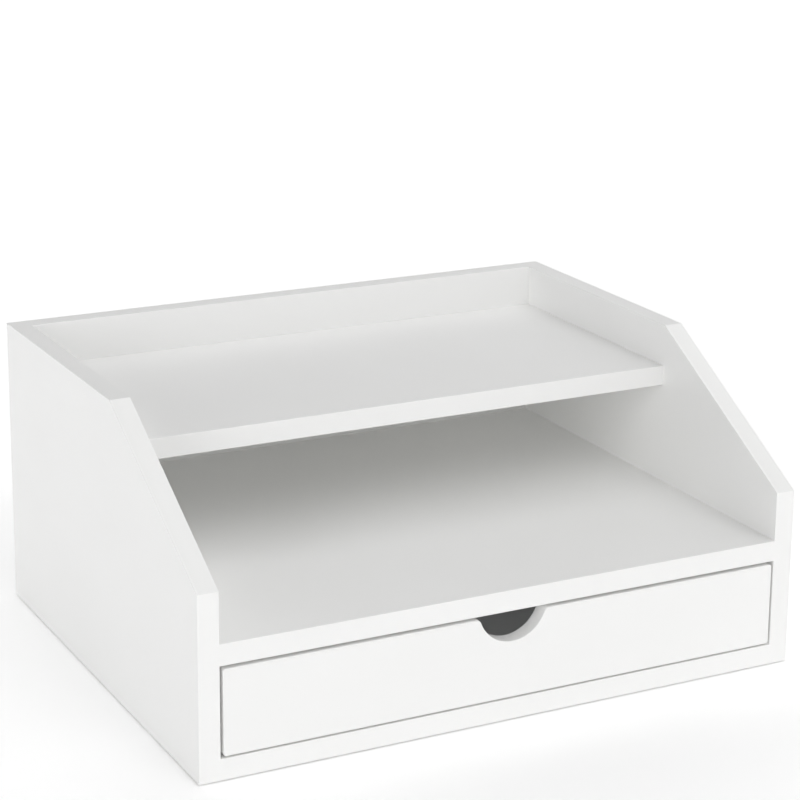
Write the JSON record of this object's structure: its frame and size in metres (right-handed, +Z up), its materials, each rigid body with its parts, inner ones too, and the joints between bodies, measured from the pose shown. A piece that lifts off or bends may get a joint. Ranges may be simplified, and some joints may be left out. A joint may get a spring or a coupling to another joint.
{
  "type": "desk organizer with drawer",
  "caption": "White box-shaped desk organiser with sloping sides: an upper tray, an open letter shelf and a full-width drawer opened by a half-round finger cut-out.",
  "frame": {"origin": "middle of the outside box's lowest face, at desk level, with the drawer shut", "axes": "+X to the user's right when facing the drawer, +Y from the drawer front to the back, +Z up"},
  "size_m": [0.365, 0.2936, 0.173],
  "materials": {
    "white_lacquered_board": "satin white lacquer over medium-density fibreboard",
    "white_faced_hardboard": "thin hardboard, white lacquered face, plain brown underside",
    "beech_dowel": "plain beech",
    "foot_felt": "pressed white felt",
    "zinc_screw": "bright zinc"
  },
  "bodies": {
    "carcass": {"left_side_panel": "white_lacquered_board", "right_side_panel": "white_lacquered_board", "back_panel": "white_lacquered_board", "base_panel": "white_lacquered_board", "middle_panel": "white_lacquered_board", "upper_shelf": "white_lacquered_board", "base_panel_dowels": "beech_dowel", "middle_panel_dowels": "beech_dowel", "upper_shelf_dowels": "beech_dowel", "back_panel_dowels": "beech_dowel", "front_left_foot_pad": "foot_felt", "front_right_foot_pad": "foot_felt", "rear_left_foot_pad": "foot_felt", "rear_right_foot_pad": "foot_felt"},
    "drawer": {"drawer_front": "white_lacquered_board", "drawer_left_side": "white_lacquered_board", "drawer_right_side": "white_lacquered_board", "drawer_back": "white_lacquered_board", "drawer_bottom": "white_faced_hardboard", "drawer_front_dowels": "beech_dowel", "drawer_back_dowels": "beech_dowel", "drawer_bottom_screws": "zinc_screw"}
  },
  "joints": [
    {"name": "drawer_slide", "type": "slide", "parent": "carcass", "child": "drawer", "axis": [0, -1, 0], "range_m": [0, 0.21]}
  ]
}
